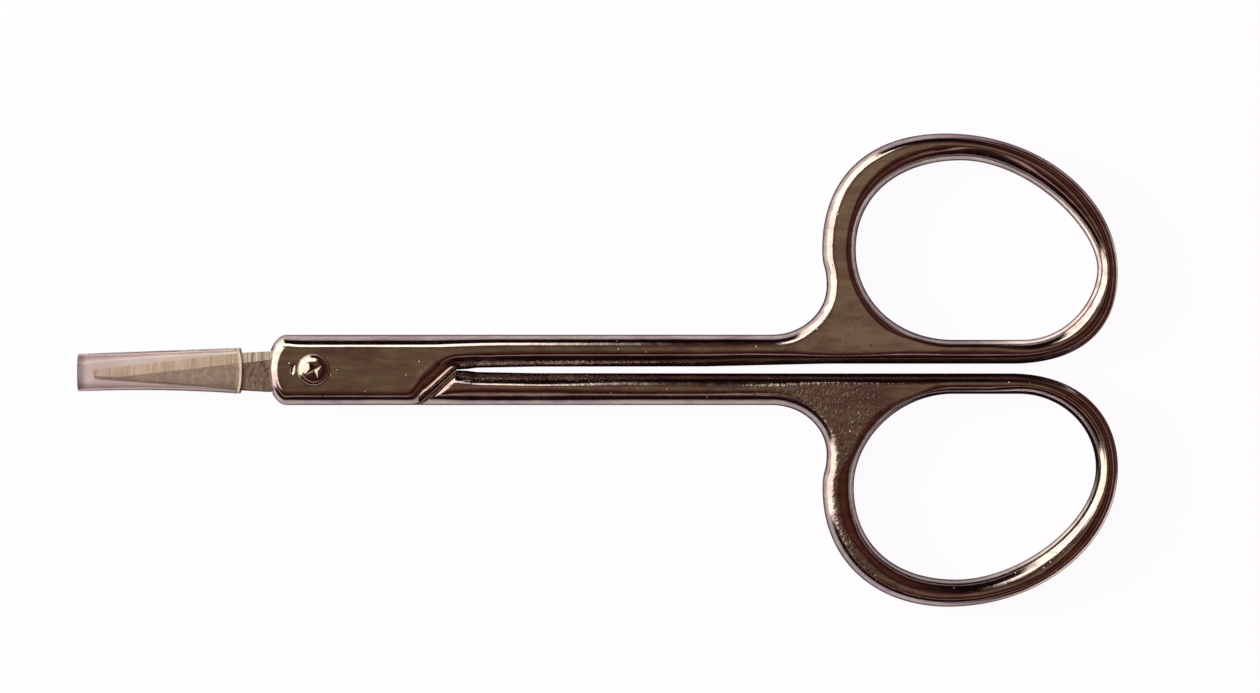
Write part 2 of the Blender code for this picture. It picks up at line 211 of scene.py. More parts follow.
def handle_moves(half):
    """The boss, the step of the lap, the shank, the neck and the rim of the ring."""
    start, length, low = ring_frame(half)
    width, bends = half["width"], half["rim_bends"]
    near, top, far, bar = half["rim"]
    neck, side = (neck_start, boss_half_width), (neck_side, neck_top)
    near = (start - half["near_wall"], low + width * near)
    top = (start + length * top, low + width + half["top_wall"])
    far, bar = (ring_end, low + width * far), (start + length * bar, half["bar_line"])
    left = boss_bulge - boss_reach
    foot, tip = (step_start, -boss_half_width), (-boss_reach, 0)
    upper, lower = (left, boss_half_width), (left, -boss_half_width)
    sway = (near[1] - neck_top) * ellipse_share
    return [
        (neck,), bend(neck, side, "x", round_end),
        ((side[0], side[1] + sway), (near[0], near[1] - sway), near),
        bend(near, top, "y", bends[0]), bend(top, far, "x", bends[1]), bend(far, bar, "y", bends[2]),
        ((neck_side, half["bar_line"]),),
        ((shank_end, inner_line),), *((point,) for point in gap_taper),
        *corner(gap_taper[-1], gap_tip, foot, gap_end_radius),
        *corner(gap_tip, foot, lower, step_foot_radius),
        (lower,), bend(lower, tip, "x", round_end), bend(tip, upper, "y", round_end),
    ]


print("points round the front handle", len(loop_points(handle_moves(front), rim_spacing)))

# %% [markdown]
# ## A forged skin from the distance to the edge
#
# The handles are drop forged and polished, so their edges roll over softly, the rings are round in
# section, and only the wide places are flat. One rule gives all three: the height of the skin depends
# on how far a point is from the outline, as a superellipse does. Close rings of points follow the edge,
# where the skin curves most, and a Delaunay triangulation joins them to a plain grid inside. Where two
# edges are near each other, the plain distance would leave a crease along the middle. A softened
# distance, a sum over all edge points that the nearest ones rule, rounds it as polishing does.
#
# The polishing wheel went deeper in some places, so the parts of a handle have edges of their own: the
# boss, the shank, the throat where the gap starts, the step, the near wall of the ring, the bar beside
# the gap and the top of the ring.

# %% Where each part's edges hold
reach_places = (-0.0046, -0.0036, -0.0010, 0.0100, 0.0180, 0.0420, 0.0480, 0.0515, 0.0560, 0.0620)
reach_values = (0.00098, 0.00110, 0.00155, 0.00155, 0.00138, 0.00138, 0.00105, 0.00105, 0.00122, 0.00160)
fade_in_and_out = (0, 1, 1, 0)
everywhere = ((0,), (1,))
# Part: its run along the handle, its share at each level across, and where the lower side turns upper.
skin_parts = {
    "boss": ((-0.0030, -0.0010, 0.0100, 0.0150), everywhere, (-0.0010, 0.0010)),
    "shank": ((0.0120, 0.0180, 0.0420, 0.0500), everywhere, (0.0010, 0.0026)),
    "throat": ((0.0125, 0.0150, 0.0230, 0.0300), everywhere, (0.0017, 0.0025)),
    "step": ((0.0090, 0.0108, 0.0150, 0.0170), ((0.0006, 0.0016), (1, 0)), (0.0006, 0.0016)),
    "wall": ((0.0480, 0.0500, 0.0545, 0.0570), ((0.0085, 0.0105, 0.0155, 0.0185), fade_in_and_out),
             (-0.0008, 0.0008)),
    "bar": ((0.0540, 0.0580, 0.0660, 0.0700), ((0.0032, 0.0042), (1, 0)), (0.0016, 0.0022)),
    "top": ((-0.2, -0.1, 0.1, 0.2), ((0.0150, 0.0200), (0, 1)), (-0.0003, 0.0003)),
}


def skin_height(distance, along, across, outward, half):
    """Height over the middle plane: a quarter of a superellipse, and flat beyond it."""
    reach = np.interp(along, reach_places, reach_values)
    power = np.full(len(along), 2.0)
    for part, (places, levels, turns) in skin_parts.items():
        if part not in half["edges"]:
            continue
        upper_reach, lower_reach, upper_power, lower_power = half["edges"][part]
        share = np.interp(along, places, fade_in_and_out) * np.interp(across, *levels)
        side = outward if part in ("wall", "top") else across
        reach += (np.interp(side, turns, (lower_reach, upper_reach)) - reach) * share
        power += (np.interp(side, turns, (lower_power, upper_power)) - power) * share
    rise = np.clip((reach - distance) / reach, 0, 1)
    return thickness / 2 * (1 - rise**power) ** (1 / power)


print("parts of a skin", list(skin_parts))

# %% Distance from the edge, plain and softened
def edge_distances(points, rim):
    """The plain and the softened distance of each point from the evenly spaced edge points."""
    spacing, straight_sum, chunk = np.linalg.norm(rim[1] - rim[0]), 3 * pi / 8, 400
    plain, soft = np.empty(len(points)), np.empty(len(points))
    for first in range(0, len(points), chunk):
        part = points[first:first + chunk]
        gaps = ((part[:, None, :] - rim[None, :, :]) ** 2).sum(2) * 1e6 + 1e-9  # square millimetres
        plain[first:first + chunk] = np.sqrt(gaps.min(1)) / 1000
        total = (1 / gaps**3).sum(1) * spacing * 1000 / straight_sum
        soft[first:first + chunk] = total ** (-1 / 5) / 1000
    return plain, soft


def is_inside(points, loop):
    """Which points lie within a closed loop, by counting the edges to their right."""
    inside = np.zeros(len(points), bool)
    for (x0, y0), (x1, y1) in zip(loop, np.roll(loop, -1, axis=0)):
        crosses = (y0 > points[:, 1]) != (y1 > points[:, 1])
        if crosses.any():
            inside[crosses] ^= points[crosses, 0] < x0 + (points[crosses, 1] - y0) * (x1 - x0) / (y1 - y0)
    return inside


# %% The sheet of points between the edges
edge_reach, edge_turns = 0.0016, 13
grid_pitch = 0.0004
crowding = 0.985


def sheet_points(loops):
    """Points within the outer loop and outside the opening, each with its distance from the edge."""
    fine = np.concatenate(loops)
    places, depths = [fine], [np.zeros(len(fine))]
    for turn in range(1, edge_turns + 1):
        depth = edge_reach * (1 - sin(pi / 2 * (1 - turn / edge_turns)))
        for index, loop in enumerate(loops):
            ahead = np.roll(loop, -1, axis=0) - np.roll(loop, 1, axis=0)
            inward = np.column_stack([-ahead[:, 1], ahead[:, 0]])
            inward /= np.linalg.norm(inward, axis=1)[:, None]
            turned = np.cross(loop, np.roll(loop, -1, axis=0)).sum() > 0
            inward *= 1 if turned == (index == 0) else -1
            moved = loop + inward * depth
            kept = edge_distances(moved, fine)[0] > depth * crowding
            places.append(moved[kept])
            depths.append(np.full(kept.sum(), depth))
    low, high = loops[0].min(0), loops[0].max(0)
    grid = np.stack(np.meshgrid(*(np.arange(low[k], high[k], grid_pitch) for k in (0, 1))), -1).reshape(-1, 2)
    grid = grid[is_inside(grid, loops[0][::3]) & ~is_inside(grid, loops[1][::3])]
    plain, _ = edge_distances(grid, fine)
    kept = plain > edge_reach + grid_pitch / 3
    return np.concatenate([*places, grid[kept]]), np.concatenate([*depths, plain[kept]]), len(fine)


# %% The skin as a closed mesh
soft_start, soft_run = 0.0003, 0.0004


def form_of(mesh):
    """A bmesh of a mesh."""
    form = bmesh.new()
    form.from_mesh(mesh)
    return form


def from_form(name, form, turned=True):
    """An object from a bmesh, with its faces turned outwards unless they are right already."""
    if turned:
        bmesh.ops.recalc_face_normals(form, faces=form.faces)
    mesh = bpy.data.meshes.new(name)
    form.to_mesh(mesh)
    form.free()
    return bpy.data.objects.new(name, mesh)


def skin_mesh(name, half):
    """A closed handle blank: a domed sheet over the middle plane and the same sheet below it."""
    loops = [loop_points(moves, rim_spacing) for moves in (handle_moves(half), opening_moves(half))]
    places, depths, edge_count = sheet_points(loops)
    _, soft = edge_distances(places, np.concatenate(loops))
    inner = np.clip((depths - soft_start) / soft_run, 0, 1)
    outward = edge_distances(places, loops[1])[0] - edge_distances(places, loops[0])[0]
    distance = depths * (1 - inner) + np.minimum(soft, depths) * inner
    height = skin_height(distance, places[:, 0], places[:, 1], outward, half)
    ring_edges, first = [], 0
    for loop in loops:
        count = len(loop)
        ring_edges += [(first + k, first + (k + 1) % count) for k in range(count)]
        first += count
    flat = [Vector(place * 1000) for place in places]
    _, _, faces, origins, _, _ = delaunay_2d_cdt(flat, ring_edges, [], 0, 1e-6)
    index = np.array([found[0] if found else -1 for found in origins])
    faces = index[np.array(faces)]
    middles = places[faces].mean(1)
    faces = faces[is_inside(middles, loops[0]) & ~is_inside(middles, loops[1]) & (faces >= 0).all(1)]
    count = len(places)
    below = np.where(np.arange(count) < edge_count, np.arange(count), np.arange(count) + count - edge_count)
    top = np.column_stack([places, thickness / 2 + height])
    bottom = np.column_stack([places[edge_count:], thickness / 2 - height[edge_count:]])
    mesh = bpy.data.meshes.new(name)
    mesh.from_pydata(np.concatenate([top, bottom]).tolist(), [],
                     np.concatenate([faces, below[faces][:, ::-1]]).tolist())
    mesh.validate()
    form = form_of(mesh)
    bmesh.ops.recalc_face_normals(form, faces=form.faces)
    open_edges = sum(not edge.is_manifold for edge in form.edges)
    form.to_mesh(mesh)
    form.free()
    print(name, "skin:", len(mesh.polygons), "faces,", open_edges, "open edges")
    return bpy.data.objects.new(name, mesh)


# %% [markdown]
# ## Cutting the lap, the pocket and the hole
#
# At the boss each handle is milled to half its thickness, so the two lie over each other, and the
# shank ends at the other half's slanting step. A pocket takes the blade's tang and a hole the screw.
# Each is a closed cutter taken away with a Boolean. The cutter for the lap carries the rounding of the
# step's edge itself: its wall flares outwards in a quarter circle, so the metal left behind is rolled.

# %% Cutters
cut_over = 0.002
lap_back, lap_ends = -0.024, (-0.014, 0.012)
lap_roll, lap_rise, lap_turns = 0.0008, 0.0012, 10
tang_reach, tang_turns = 0.0068, 24
hole_sides = 64


def prism(name, outline, low, high):
    """A closed upright prism over an outline."""
    form = bmesh.new()
    base = form.faces.new([form.verts.new((*point, low)) for point in outline])
    raised = bmesh.ops.extrude_face_region(form, geom=[base])
    tops = [item for item in raised["geom"] if isinstance(item, bmesh.types.BMVert)]
    bmesh.ops.translate(form, verts=tops, vec=(0, 0, high - low))
    return from_form(name, form)


def lap_cutter(name):
    """Everything behind the lap, with a flared wall at the other half's step."""
    foot, head = Vector((step_start, boss_half_width)), Vector((step_end, -inner_line))
    along = (foot - head).normalized()
    clear = Vector((along.y, -along.x))
    section = [(lap_back, -cut_over), (lap_roll, -cut_over), (lap_roll, 0)]
    for step in range(1, lap_turns + 1):
        turn = pi / 2 * step / lap_turns
        section.append((lap_roll - lap_roll * sin(turn), lap_rise - lap_rise * cos(turn)))
    section += [(0, lap_level), (lap_back, lap_level)]
    form = bmesh.new()
    origin = foot + clear * lap_gap
    rings = [[form.verts.new((*(origin + clear * u + along * reach), level)) for u, level in section]
             for reach in lap_ends]
    form.faces.new(rings[0])
    form.faces.new(rings[1][::-1])
    for index in range(len(section)):
        after = (index + 1) % len(section)
        form.faces.new((rings[0][index], rings[1][index], rings[1][after], rings[0][after]))
    return from_form(name, form)


def tang_points(half, gap, left):
    """The strip under the boss where the blade's tang lies, with a half-round end."""
    upper, lower = half["cutting"][0] + gap, -half["spine"][0] - gap
    radius, middle = (upper - lower) / 2, (upper + lower) / 2
    centre = tang_reach + gap - radius
    turns = [pi / 2 - pi * step / tang_turns for step in range(tang_turns + 1)]
    arc = [(centre + radius * cos(turn), middle + radius * sin(turn)) for turn in turns]
    return [*arc, (left, lower), (left, upper)]


def hole_cutter(name, radius):
    """A round cutter on the pivot axis."""
    turns = [tau * k / hole_sides for k in range(hole_sides)]
    circle = [(radius * cos(turn), radius * sin(turn)) for turn in turns]
    return prism(name, circle, -cut_over, thickness + cut_over)


# %% Taking cutters away
def run_mesh(thing):
    """A plain mesh of an object whose modifiers have been run."""
    return bpy.data.meshes.new_from_object(thing.evaluated_get(bpy.context.evaluated_depsgraph_get()))


def carve(solid, cutters, solver="MANIFOLD"):
    """Takes each cutter out of a solid and keeps the result as a plain mesh."""
    for thing in (solid, *cutters):
        show(thing)
    for cutter in cutters:
        change = solid.modifiers.new(cutter.name, "BOOLEAN")
        change.operation, change.solver, change.object = "DIFFERENCE", solver, cutter
    mesh, name = run_mesh(solid), solid.name
    for thing in (*cutters, solid):
        bpy.data.objects.remove(thing)
    carved = bpy.data.objects.new(name, mesh)
    carved.data.name = name
    return carved


def lay(piece, turned_over=False):
    """Puts a piece from the pivot's own frame into the model's, in its mesh."""
    place = Matrix.Translation((pivot_x, 0, thickness if turned_over else 0))
    if turned_over:
        place = place @ Matrix.Rotation(pi, 4, "X")
    piece.data.transform(place)
    show(piece)
    return piece


def smooth(piece, angle):
    """Smooth shading, with edges sharper than the angle left crisp."""
    piece.data.shade_smooth()
    piece.data.set_sharp_from_angle(angle=radians(angle))


def rounded(piece, width, segments, angle):
    """Rounds the edges sharper than the angle, by a Bevel."""
    edge = piece.modifiers.new("rounded_edge", "BEVEL")
    edge.width, edge.segments, edge.limit_method, edge.angle_limit = width, segments, "ANGLE", radians(angle)


# %% The punch mark beside the screw
punch_size, punch_turn = (0.00034, 0.00072, 0.00030), radians(-8)
punch_place = (-0.00206, 0.00010, thickness + 0.00012)


def punch_mark(name):
    """A small oval dent, as from a centre punch, left of the screw on the front face."""
    form = bmesh.new()
    bmesh.ops.create_uvsphere(form, u_segments=24, v_segments=14, radius=1)
    bmesh.ops.scale(form, vec=punch_size, verts=form.verts)
    bmesh.ops.rotate(form, cent=(0, 0, 0), matrix=Matrix.Rotation(punch_turn, 3, "Z"), verts=form.verts)
    bmesh.ops.translate(form, vec=punch_place, verts=form.verts)
    return from_form(name, form, False)


# %% Both handles
pocket_left, pocket_over = -0.007, 0.001
crisp_edge = 34


def make_handle(name, half, hole_gap, turned_over, extra=()):
    """A skinned handle, milled, pocketed, drilled and laid in place."""
    pocket = tang_points(half, fit_gap, pocket_left)
    cutters = [
        lap_cutter(name + "_lap"),
        prism(name + "_pocket", pocket, -pocket_over, lap_level + pocket_over),
        hole_cutter(name + "_hole", screw_radius + hole_gap),
        *extra,
    ]
    handle = lay(carve(skin_mesh(name, half), cutters), turned_over)
    smooth(handle, crisp_edge)
    print(name, "carved:", len(handle.data.polygons), "faces")
    return handle


front_handle = make_handle("front_handle_skin", front, turn_gap, False, [punch_mark("punch_mark")])
rear_handle = make_handle("rear_handle_skin", rear, fit_gap, True)

# %% Beads of plating on the lower web
bead_places = (
    (0.04916, -0.00137), (0.05311, -0.00137), (0.05303, -0.00420), (0.05243, -0.00508), (0.05218, -0.00596))
bead_radius, bead_sunk = 0.00014, 0.45


def plating_beads(name):
    """Small round drops that the plating left on the web, sunk to about their middles."""
    form = bmesh.new()
    for x, y in bead_places:
        made = bmesh.ops.create_uvsphere(form, u_segments=16, v_segments=10, radius=bead_radius)
        place = (x + pivot_x, y, thickness - bead_radius * bead_sunk)
        bmesh.ops.translate(form, vec=place, verts=made["verts"])
    beads = from_form(name, form, False)
    show(beads)
    beads.data.shade_smooth()
    return beads


beads = plating_beads("rear_handle_beads")
print("beads", len(bead_places))

# %% [markdown]
# ## The blades
#
# The blades are ground flat, with one wide bevel down to the cutting edge, so they are plain prisms
# with a slanting cut. The cut is a block laid on the bevel. A very small bevel on every edge, a few
# hundredths of a millimetre, is all that grinding leaves, and it draws the thin light line that tells
# the eye an edge is real.

# %% Blade outline and bevel
blade_thickness, blade_reach, heel_reach = 0.0009, 0.0216, 0.0070
tip_bulge, tip_turns = 0.0005, 14
shoulder = tip_bulge - blade_reach
bevel_width, bevel_drop = 0.00098, 0.00019
spine_width, spine_drop = 0.00014, 0.00008
ground_edge = 0.00003


def blade_points(half):
    """Tang, heel, cutting edge above, blunt tip and spine below."""
    upper, lower = half["cutting"][2], -half["spine"][2]
    centre, radius = (upper + lower) / 2, (upper - lower) / 2
    turns = [pi * k / tip_turns for k in range(tip_turns + 1)]
    tip = [(shoulder - tip_bulge * sin(turn), centre - radius * cos(turn)) for turn in turns]
    strip = tang_points(half, 0, -boss_reach)
    return [*strip[:-1], (-heel_reach, -half["spine"][1]), *tip, (-heel_reach, half["cutting"][1]), strip[-1]]


def bevel_block(name, tip, heel, width, drop, side):
    """A block whose underside is a ground bevel along one edge."""
    tip, heel = Vector((shoulder, tip)), Vector((-heel_reach, heel))
    along = (heel - tip).normalized()
    outward = Vector((-along.y, along.x)) * side
    slope = Vector((*(outward * width), -drop)).normalized()
    run = (blade_reach - boss_reach + boss_bulge) / along.x
    back = sqrt(width**2 + drop**2) + cut_over
    form = bmesh.new()
    bmesh.ops.create_cube(form, size=1)
    size = (run + cut_over, back + cut_over, cut_over)
    middle = ((run - cut_over) / 2, (cut_over - back) / 2, cut_over / 2)
    axes = Matrix((along.to_3d(), slope, along.to_3d().cross(slope) * side)).transposed().to_4x4()
    place = Matrix.Translation((*tip, lap_level + blade_thickness - drop)) @ axes
    place = place @ Matrix.Translation(middle) @ Matrix.Diagonal((*size, 1))
    bmesh.ops.transform(form, matrix=place, verts=form.verts)
    return from_form(name, form)


def make_blade(name, half, hole_gap, turned_over):
    """A flat blade with its bevel, hole and tang."""
    blank = prism(name, blade_points(half), lap_level, lap_level + blade_thickness)
    cutting, spine = half["cutting"], half["spine"]
    cutters = [
        bevel_block(name + "_bevel", cutting[2], cutting[1], bevel_width, bevel_drop, 1),
        bevel_block(name + "_spine", -spine[2], -spine[1], spine_width, spine_drop, -1),
        hole_cutter(name + "_hole", screw_radius + hole_gap),
    ]
    blade = lay(carve(blank, cutters, "EXACT"), turned_over)
    smooth(blade, 8)
    tilt = [face.normal.z for face in blade.data.polygons]
    slanted = blade.data.attributes.new("slanted", "FLOAT", "FACE")
    slanted.data.foreach_set("value", [float(0.9 < abs(value) < 0.997) for value in tilt])
    rounded(blade, ground_edge, 2, 20)
    print(name, len(blade.data.polygons), "faces before its edge bevel")
    return blade


front_blade = make_blade("front_blade_ground", front, turn_gap, False)
rear_blade = make_blade("rear_blade_ground", rear, fit_gap, True)

# %% [markdown]
# ## The screw
#
# A turned screw is a profile spun round its axis: a fine raised rim, a low dome and a plain shank. The
# driver's cross is cut into the dome with slots that taper inwards, as a cross bit does.

# %% Turned screw with a cross recess
head_radius, head_rim, head_dome = 0.0016, 0.00013, 0.00051
head_level = thickness + fit_gap
dome_radius, dome_turns, dome_drop = 0.00153, 12, 0.00004
rim_steps = ((0.00156, 0.00005), (0.00158, 0.00005), (head_radius, 0.00008))
slot_length, slot_width, slot_depth, slot_over = 0.00100, 0.00042, 0.00030, 0.0002
slot_fall, slot_rise = 0.00008, 0.00002
merge_gap = 0.000002


def screw_blank(name):
    """The screw's profile, spun round the pivot axis."""
    top = head_level + head_rim
    profile = [(0, top + head_dome)]
    for step in range(1, dome_turns + 1):
        turn = pi / 2 * step / dome_turns
        level = top + head_dome * cos(turn) - dome_drop * (step / dome_turns)
        profile.append((dome_radius * sin(turn), level))
    profile += [(radius, top - drop) for radius, drop in rim_steps]
    profile += [(head_radius, head_level), (screw_radius, head_level), (screw_radius, 0.0002),
                (screw_radius - 0.0002, 0), (0, 0)]
    form = bmesh.new()
    verts = [form.verts.new((radius, 0, level)) for radius, level in profile]
    edges = [form.edges.new(pair) for pair in zip(verts, verts[1:])]
    bmesh.ops.spin(form, geom=verts + edges, cent=(0, 0, 0), axis=(0, 0, 1), angle=tau, steps=72)
    bmesh.ops.remove_doubles(form, verts=form.verts, dist=merge_gap)
    return from_form(name, form)


def recess_slot(name, turn):
    """One wedge of the cross: pointed at both ends, deepest in the middle."""
    top = head_level + head_rim + head_dome
    form = bmesh.new()
    corners = ((slot_length, 0, top - slot_fall), (0, slot_width, top + slot_rise),
               (-slot_length, 0, top - slot_fall), (0, -slot_width, top + slot_rise))
    ring = [form.verts.new(place) for place in corners]
    low, high = form.verts.new((0, 0, top - slot_depth)), form.verts.new((0, 0, top + slot_over))
    for index in range(4):
        after = (index + 1) % 4
        form.faces.new((ring[index], ring[after], high))
        form.faces.new((ring[after], ring[index], low))
    bmesh.ops.rotate(form, cent=(0, 0, 0), matrix=Matrix.Rotation(turn, 3, "Z"), verts=form.verts)
    return from_form(name, form)


slots = [recess_slot("slot", radians(28)), recess_slot("cross_slot", radians(118))]
screw = lay(carve(screw_blank("pivot_screw_turned"), slots, "EXACT"))
smooth(screw, 30)
print("screw", len(screw.data.polygons), "faces")

# %% [markdown]
# ## The clear tube, in Geometry Nodes
#
# The tip guard is a cut length of soft tube, pushed flat over the blades: nearly square at its mouth,
# oval at its free end, and a little wider at the mouth. Every ring of it follows one rule, a
# superellipse whose width and squareness run from one end to the other, so it is made by a node tree
# that bends a grid into the tube. Changing an input remakes the whole tube.
#
# A node tree is mostly sums. Each node's result is wrapped as a Wire here, so that a plain formula in
# the script builds the Math nodes that work it out.

# %% Wires between nodes
def feed(socket, value):
    """Joins a socket to a wire, or fills it with a plain value."""
    if isinstance(value, Wire):
        socket.id_data.links.new(value.socket, socket)
    elif value is not None:
        socket.default_value = value


def joined(tree, kind, *inputs, **settings):
    """Adds a node, sets it up, and feeds its inputs in order."""
    node = tree.nodes.new(kind)
    for key, value in settings.items():
        setattr(node, key, value)
    for socket, value in zip(node.inputs, inputs):
        feed(socket, value)
    return node


def fed(node, values):
    """Feeds a node's inputs by their names."""
    for name, value in values.items():
        feed(node.inputs[name], value)
    return node


def wired(tree, kind, *inputs, output=0, **settings):
    """The wire from a new node."""
    return Wire(joined(tree, kind, *inputs, **settings).outputs[output])


def reckoned(tree, operation, *values):
    """A Math node's result."""
    return wired(tree, "ShaderNodeMath", *values, operation=operation)


class Wire:
    """A node's result, which formulas can use as a number."""

    def __init__(self, socket):
        self.socket, self.tree = socket, socket.id_data

    def math(self, operation, *others):
        return reckoned(self.tree, operation, self, *others)

    def __add__(self, other):
        return self.math("ADD", other)

    def __sub__(self, other):
        return self.math("SUBTRACT", other)

    def __rsub__(self, other):
        return reckoned(self.tree, "SUBTRACT", other, self)

    def __mul__(self, other):
        return self.math("MULTIPLY", other)

    def __truediv__(self, other):
        return self.math("DIVIDE", other)

    def __rtruediv__(self, other):
        return reckoned(self.tree, "DIVIDE", other, self)

    def __pow__(self, other):
        return self.math("POWER", other)

    def __abs__(self):
        return self.math("ABSOLUTE")

    def ranged(self, start, end, low=0.0, high=1.0, **settings):
        """A Map Range node's result: low up to the start, high from the end on."""
        return wired(self.tree, "ShaderNodeMapRange", self, start, end, low, high, **settings)


def run_between(start, end, share):
    """From the start to the end by a share."""
    return (end - start) * share + start


def axes_of(place):
    """The X, Y and Z of a vector."""
    return [Wire(socket) for socket in joined(place.tree, "ShaderNodeSeparateXYZ", place).outputs]


def new_group(name, kind, inputs, outputs):
    """A node group with sockets of the given names and kinds, and the wires from its inputs."""
    group = bpy.data.node_groups.new(name, kind)
    for side, sockets in (("INPUT", inputs), ("OUTPUT", outputs)):
        for socket, value_kind in sockets.items():
            group.interface.new_socket(name=socket, in_out=side, socket_type="NodeSocket" + value_kind)
    return group, {socket.name: Wire(socket) for socket in group.nodes.new("NodeGroupInput").outputs}


def floats(names):
    """Sockets that each hold a number."""
    return dict.fromkeys(names, "Float")


# %% The tube's node tree
tube_mouth, tube_end, lip_width = 0.0070, 0.02304, 0.00022
tube_grid = (33, 97)
tube_sizes = {
    "Mouth Reach": tube_mouth + lip_width, "End Reach": tube_end,
    "Mouth Width": 0.00444, "End Width": 0.00366, "Mouth Offset": -0.00008, "End Offset": -0.00027,
    "Mouth Squareness": 6.0, "End Squareness": 2.4, "Mouth Bow": 0.0003, "End Bow": 0.0,
    "Height": 0.0030, "Pinch": 0.00022, "Pivot X": pivot_x, "Middle Level": thickness / 2,
}
lip_sizes = tube_sizes | {
    "Mouth Reach": tube_mouth, "End Reach": tube_mouth + lip_width, "End Width": 0.00444,
    "End Offset": -0.00008, "End Squareness": 6.0, "End Bow": 0.0003, "Pinch": 0.0,
}


def tube_tree():
    """Geometry Nodes that bend a grid into the tube."""
    tree, given = new_group("tube_from_superellipses", "GeometryNodeTree",
                            floats(tube_sizes) | {"Finish": "Material"}, {"Geometry": "Geometry"})
    grid = wired(tree, "GeometryNodeMeshGrid", 1.0, 1.0, *tube_grid)
    place = axes_of(wired(tree, "GeometryNodeInputPosition"))
    share, turn = place[0] + 0.5, (place[1] + 0.5) * tau
    squareness, width, offset, bow, reach = (
        run_between(given["Mouth " + size], given["End " + size], share)
        for size in ("Squareness", "Width", "Offset", "Bow", "Reach"))
    power = 2.0 / squareness
    aside, rise = (abs(wave) ** power * wave.math("SIGN")
                   for wave in (turn.math("COSINE"), turn.math("SINE")))
    waist = share * 4.0 * (1.0 - share)
    across = aside * (width * 0.5) + offset + waist * (aside * -0.5 + 0.5) * given["Pinch"]
    up = rise * (given["Height"] * 0.5) + given["Middle Level"]
    along = given["Pivot X"] - (reach + aside * aside * bow)
    target = wired(tree, "ShaderNodeCombineXYZ", along, across, up)
    bent = wired(tree, "GeometryNodeSetPosition", grid, True, target)
    closed = fed(joined(tree, "GeometryNodeMergeByDistance", bent), {"Distance": merge_gap})
    plain = wired(tree, "GeometryNodeRealizeInstances", Wire(closed.outputs[0]))
    finish = fed(joined(tree, "GeometryNodeSetMaterial", plain), {"Material": given["Finish"]})
    joined(tree, "NodeGroupOutput", Wire(finish.outputs[0]))
    return tree


tube_nodes = tube_tree()
print("tube nodes", len(tube_nodes.nodes))

# %% The tube as a plain mesh with a wall
tube_wall, rim_edge = 0.0002, 0.00006


def make_tube(name, sizes, finish_used):
    """Runs the tree, keeps its mesh and gives it a wall and rounded rims."""
    carrier = bpy.data.objects.new(name, bpy.data.meshes.new(name))
    show(carrier)
    change = carrier.modifiers.new("tube", "NODES")
    change.node_group = tube_nodes
    for socket in change.node_group.interface.items_tree:
        if socket.in_out == "INPUT":
            change[socket.identifier] = finish_used if socket.name == "Finish" else sizes[socket.name]
    mesh = run_mesh(carrier)
    carrier.modifiers.remove(change)
    carrier.data = mesh
    form = form_of(mesh)
    bmesh.ops.remove_doubles(form, verts=form.verts, dist=merge_gap)
    bmesh.ops.recalc_face_normals(form, faces=form.faces)
    middle = Vector(np.mean([vert.co[:] for vert in form.verts], axis=0))
    side = form.faces[:][len(form.faces) // 2]
    outward = side.calc_center_median() - middle
    if Vector((0, outward.y, outward.z)).dot(side.normal) < 0:
        bmesh.ops.reverse_faces(form, faces=form.faces)
    form.to_mesh(mesh)
    form.free()
    wall = carrier.modifiers.new("wall", "SOLIDIFY")
    wall.thickness, wall.offset, wall.use_even_offset = tube_wall, -1, True
    rounded(carrier, rim_edge, 3, 50)
    smooth(carrier, 40)
    print(name, len(mesh.polygons), "faces before its wall")
    return carrier


# %% [markdown]
# ## Clear plastic
#
# Soft clear plastic is never quite clear: it is milky in clouds and yellows a little along its length.
# It is also darker at its sides, partly from the longer path through the wall and partly as painted
# shade for what the curved walls refract. It is darker at its cut end and on its -Y side, and that is
# painted shade. The main tube is mostly transmission, tinted by a ramp along it, a noise and the Facing
# of Layer Weight. The cut lip at its mouth scatters more than it lets through, so it has a material of
# its own, and its cream tint is a painted highlight.

# %% Helpers for materials
def new_material(name):
    """A material, its node tree and its Principled shader."""
    material = bpy.data.materials.new(name)
    material.use_nodes = True
    return material, material.node_tree, material.node_tree.nodes["Principled BSDF"]


def banded(reading, bands):
    """A Color Ramp through the given positions and colours."""
    ramp = joined(reading.tree, "ShaderNodeValToRGB", reading)
    ends = ramp.color_ramp.elements
    ends[0].position, ends[0].color = bands[0][0], (*bands[0][1], 1)
    ends[1].position, ends[1].color = bands[-1][0], (*bands[-1][1], 1)
    for position, colour in bands[1:-1]:
        ends.new(position).color = (*colour, 1)
    return Wire(ramp.outputs[0])


def blended(first, second, share=1.0, how="MULTIPLY"):
    """One colour over another, by a Mix node."""
    tree = next(value.tree for value in (first, second, share) if isinstance(value, Wire))
    mix = joined(tree, "ShaderNodeMix", share, data_type="RGBA", blend_type=how)
    feed(mix.inputs[6], first)
    feed(mix.inputs[7], second)
    return Wire(mix.outputs[2])


def object_place(tree):
    """Object coordinates."""
    return wired(tree, "ShaderNodeTexCoord", output="Object")


def stretched(place, scale):
    """Coordinates stretched or squeezed along each axis, by a Mapping node."""
    return Wire(fed(joined(place.tree, "ShaderNodeMapping", place), {"Scale": scale}).outputs[0])


def noise(place, scale, detail=2.0):
    """A Noise Texture's value."""
    texture = joined(place.tree, "ShaderNodeTexNoise", place)
    return Wire(fed(texture, {"Scale": scale, "Detail": detail}).outputs[0])


def relieved(shader, height, strength, distance):
    """Gives a shader fine relief, by a Bump node."""
    bump = joined(height.tree, "ShaderNodeBump")
    fed(bump, {"Strength": strength, "Distance": distance, "Height": height})
    feed(shader.inputs["Normal"], Wire(bump.outputs[0]))


